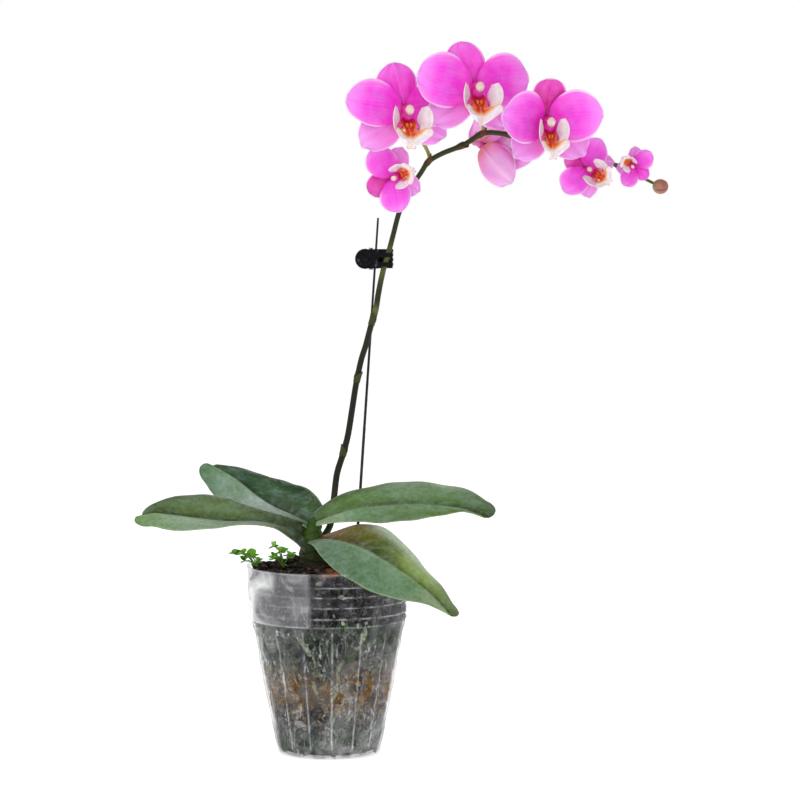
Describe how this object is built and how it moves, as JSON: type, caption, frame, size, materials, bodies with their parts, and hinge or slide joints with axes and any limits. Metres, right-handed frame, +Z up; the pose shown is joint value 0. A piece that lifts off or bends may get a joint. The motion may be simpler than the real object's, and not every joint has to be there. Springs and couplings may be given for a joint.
{
  "type": "potted orchid",
  "caption": "Moth orchid with an arching spike of pink flowers and broad strap leaves, held to a thin stake by a claw clip, in a clear ribbed nursery pot.",
  "frame": {"origin": "centre of the pot's flat underside", "axes": "+Z up the plant, +X along the arch of the flower spike, -Y towards the side that the flowers face"},
  "size_m": [0.3928, 0.1622, 0.5276],
  "materials": {
    "clear_plastic": "clear, hazed and scratched",
    "bark": "rough damp chips",
    "stem": "satin",
    "leaf": "satin, slightly glossy",
    "petal": "soft satin",
    "sepal": "soft satin",
    "lip": "waxy satin",
    "spike": "satin",
    "bud": "satin",
    "stake": "dark satin coating",
    "clip": "glossy black",
    "clip_metal": "bright steel",
    "seedling": "satin"
  },
  "bodies": {
    "plant": {"pot": "clear_plastic", "bark_mix": "bark", "stem_and_roots": "stem", "leaf_left_low": "leaf", "leaf_left_high": "leaf", "leaf_right_high": "leaf", "leaf_right_low": "leaf", "flower_1_dorsal_sepal": "sepal", "flower_1_petal_left": "petal", "flower_1_petal_right": "petal", "flower_1_sepal_left": "sepal", "flower_1_sepal_right": "sepal", "flower_1_lip": "lip", "flower_2_dorsal_sepal": "sepal", "flower_2_petal_left": "petal", "flower_2_petal_right": "petal", "flower_2_sepal_left": "sepal", "flower_2_sepal_right": "sepal", "flower_2_lip": "lip", "flower_3_dorsal_sepal": "sepal", "flower_3_petal_left": "petal", "flower_3_petal_right": "petal", "flower_3_sepal_left": "sepal", "flower_3_sepal_right": "sepal", "flower_3_lip": "lip", "flower_4_dorsal_sepal": "sepal", "flower_4_petal_left": "petal", "flower_4_petal_right": "petal", "flower_4_sepal_left": "sepal", "flower_4_sepal_right": "sepal", "flower_4_lip": "lip", "flower_5_dorsal_sepal": "sepal", "flower_5_petal_left": "petal", "flower_5_petal_right": "petal", "flower_5_sepal_left": "sepal", "flower_5_sepal_right": "sepal", "flower_5_lip": "lip", "flower_6_dorsal_sepal": "sepal", "flower_6_petal_left": "petal", "flower_6_petal_right": "petal", "flower_6_sepal_left": "sepal", "flower_6_sepal_right": "sepal", "flower_6_lip": "lip", "flower_7_dorsal_sepal": "sepal", "flower_7_petal_left": "petal", "flower_7_petal_right": "petal", "flower_7_sepal_left": "sepal", "flower_7_sepal_right": "sepal", "flower_7_lip": "lip", "flower_spike": "spike", "bud": "bud", "stake": "stake", "clip_jaw_back": "clip", "clip_pin": "clip_metal", "clip_spring": "clip_metal", "seedling_outer": "seedling", "seedling_inner": "seedling"},
    "clip_front": {"clip_jaw_front": "clip"}
  },
  "joints": [
    {"name": "clip_hinge", "type": "hinge", "parent": "plant", "child": "clip_front", "pos_m": [0.0316, 0.0022, 0.367], "axis": [0, 0, -1], "range_deg": [0, 30], "stiffness_Nm_per_rad": 0.02, "springref_deg": -5.73}
  ]
}
